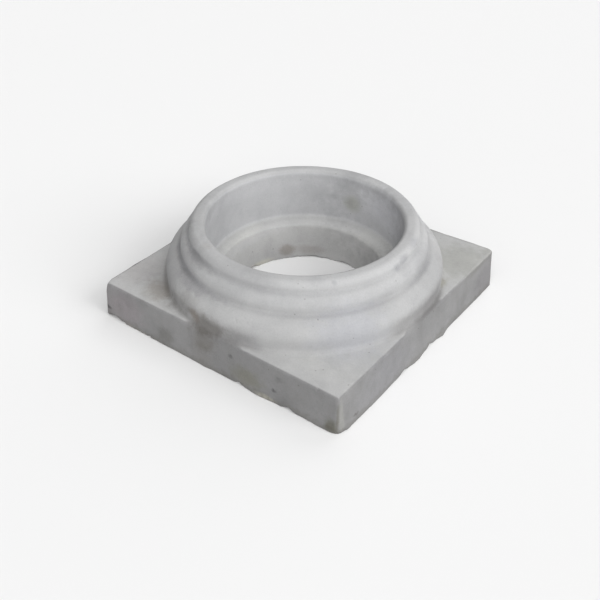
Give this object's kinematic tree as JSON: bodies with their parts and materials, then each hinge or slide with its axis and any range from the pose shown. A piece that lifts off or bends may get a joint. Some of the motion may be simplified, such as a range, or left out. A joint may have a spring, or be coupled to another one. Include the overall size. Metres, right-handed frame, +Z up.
{
  "type": "column base",
  "caption": "Cast concrete column base: square plinth, stacked rounded rolls and a round recess with a ledge that seats the foot of a column shaft.",
  "frame": {"origin": "centre of the plinth's underside, on the axis of the shaft recess", "axes": "+Z up along the axis of the recess; X and Y square to the plinth's sides"},
  "size_m": [0.468, 0.468, 0.1605],
  "materials": {
    "cast_concrete": "matte, as cast"
  },
  "bodies": {
    "root": {"column_base": "cast_concrete"}
  },
  "joints": []
}
